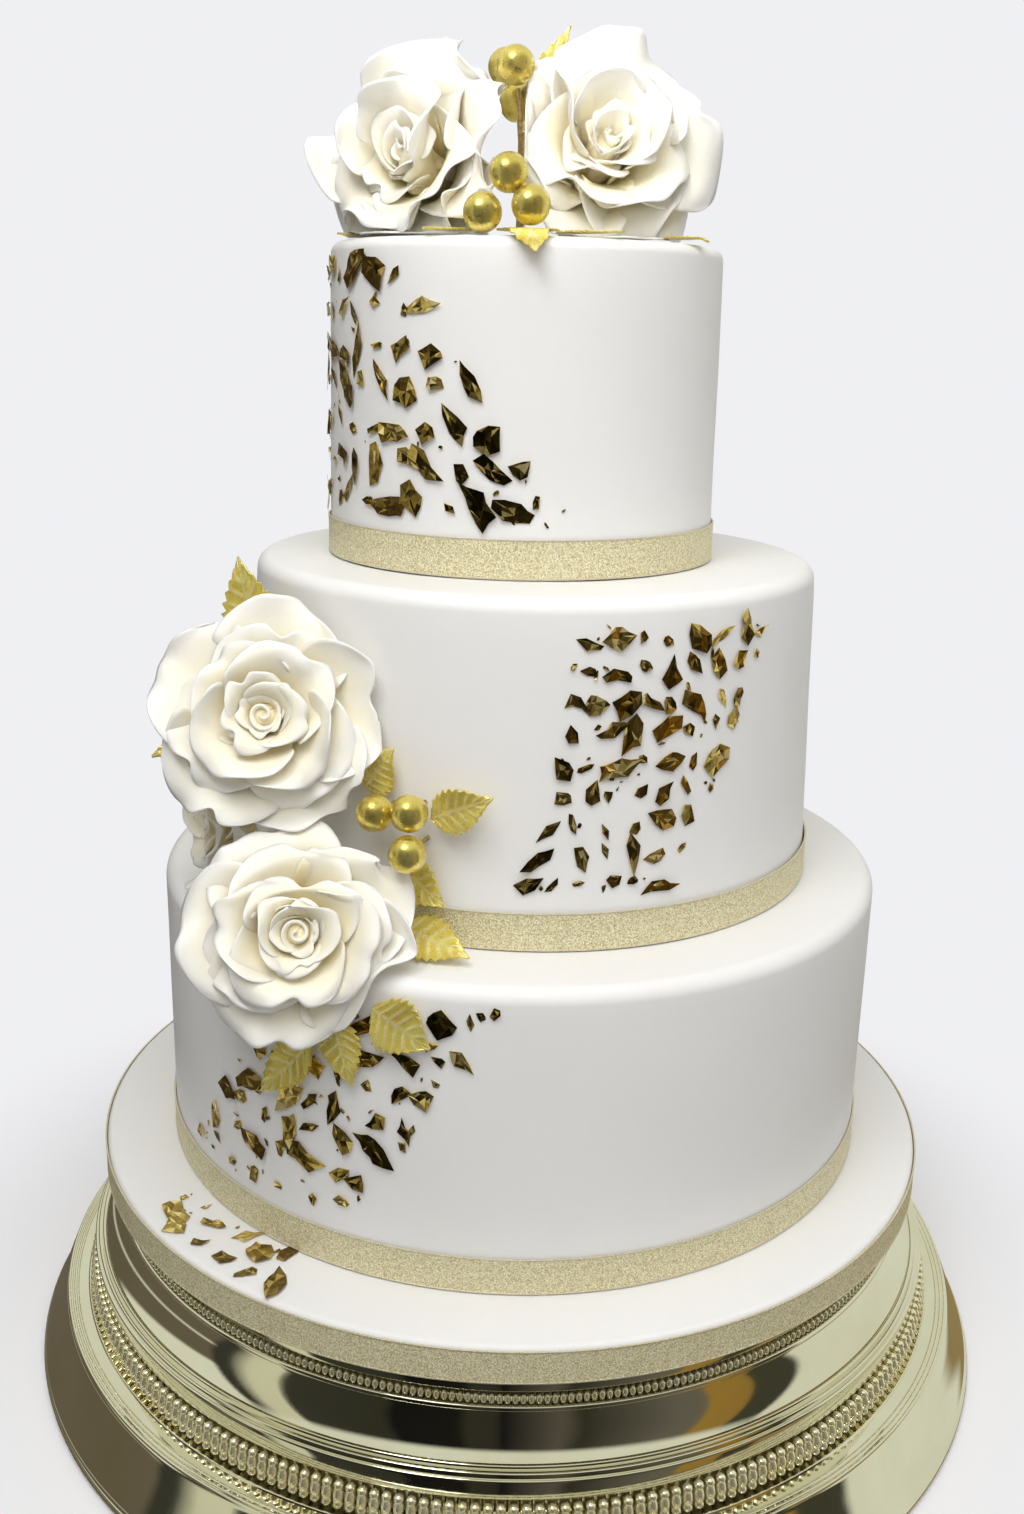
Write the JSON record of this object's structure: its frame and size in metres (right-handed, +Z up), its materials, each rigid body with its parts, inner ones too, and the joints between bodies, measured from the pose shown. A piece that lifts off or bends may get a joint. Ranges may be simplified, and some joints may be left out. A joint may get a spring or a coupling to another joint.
{
  "type": "tiered wedding cake",
  "caption": "Iced wedding cake in stacked round tiers with gold ribbons, gold leaf, sugar roses, gold leaves and berries, on an iced board and a round metal stand",
  "frame": {"origin": "centre of the stand's underside, on the table", "axes": "+Z up the cake, -Y toward the front, +X to the right as seen from the front"},
  "size_m": [0.442, 0.442, 0.5687],
  "materials": {
    "icing": "smooth white sugar icing with a soft sheen, part covered in thin gold leaf",
    "sugar_paste": "matt ivory sugar paste petals",
    "gold_dust": "satin gold lustre over sugar paste",
    "ribbon": "champagne gold ribbon with a fine glitter",
    "metal": "polished pale gold plate"
  },
  "bodies": {
    "root": {"stand": "metal", "stand_rope": "metal", "stand_beads": "metal", "board": "icing", "board_ribbon": "ribbon", "tier_bottom": "icing", "ribbon_bottom": "ribbon", "tier_middle": "icing", "ribbon_middle": "ribbon", "tier_top": "icing", "ribbon_top": "ribbon", "rose_side_upper": "sugar_paste", "rose_side_lower": "sugar_paste", "rose_side_back": "sugar_paste", "rose_top_left": "sugar_paste", "rose_top_right": "sugar_paste", "leaf_side_1": "gold_dust", "leaf_side_2": "gold_dust", "leaf_side_3": "gold_dust", "leaf_side_4": "gold_dust", "leaf_side_5": "gold_dust", "leaf_side_6": "gold_dust", "leaf_side_7": "gold_dust", "leaf_side_8": "gold_dust", "leaf_side_9": "gold_dust", "leaf_side_10": "gold_dust", "leaf_top_1": "gold_dust", "leaf_top_2": "gold_dust", "leaf_top_3": "gold_dust", "leaf_top_4": "gold_dust", "leaf_top_5": "gold_dust", "leaf_top_6": "gold_dust", "berry_side_1": "gold_dust", "berry_side_2": "gold_dust", "berry_side_3": "gold_dust", "berry_top_1": "gold_dust", "berry_top_2": "gold_dust", "berry_top_3": "gold_dust", "berry_top_4": "gold_dust", "berry_top_5": "gold_dust", "berry_top_6": "gold_dust", "wire_side_1": "gold_dust", "wire_side_2": "gold_dust", "wire_side_3": "gold_dust", "wire_top_1": "gold_dust", "wire_top_2": "gold_dust", "wire_top_3": "gold_dust", "wire_top_4": "gold_dust", "wire_leaf": "gold_dust"}
  },
  "joints": []
}
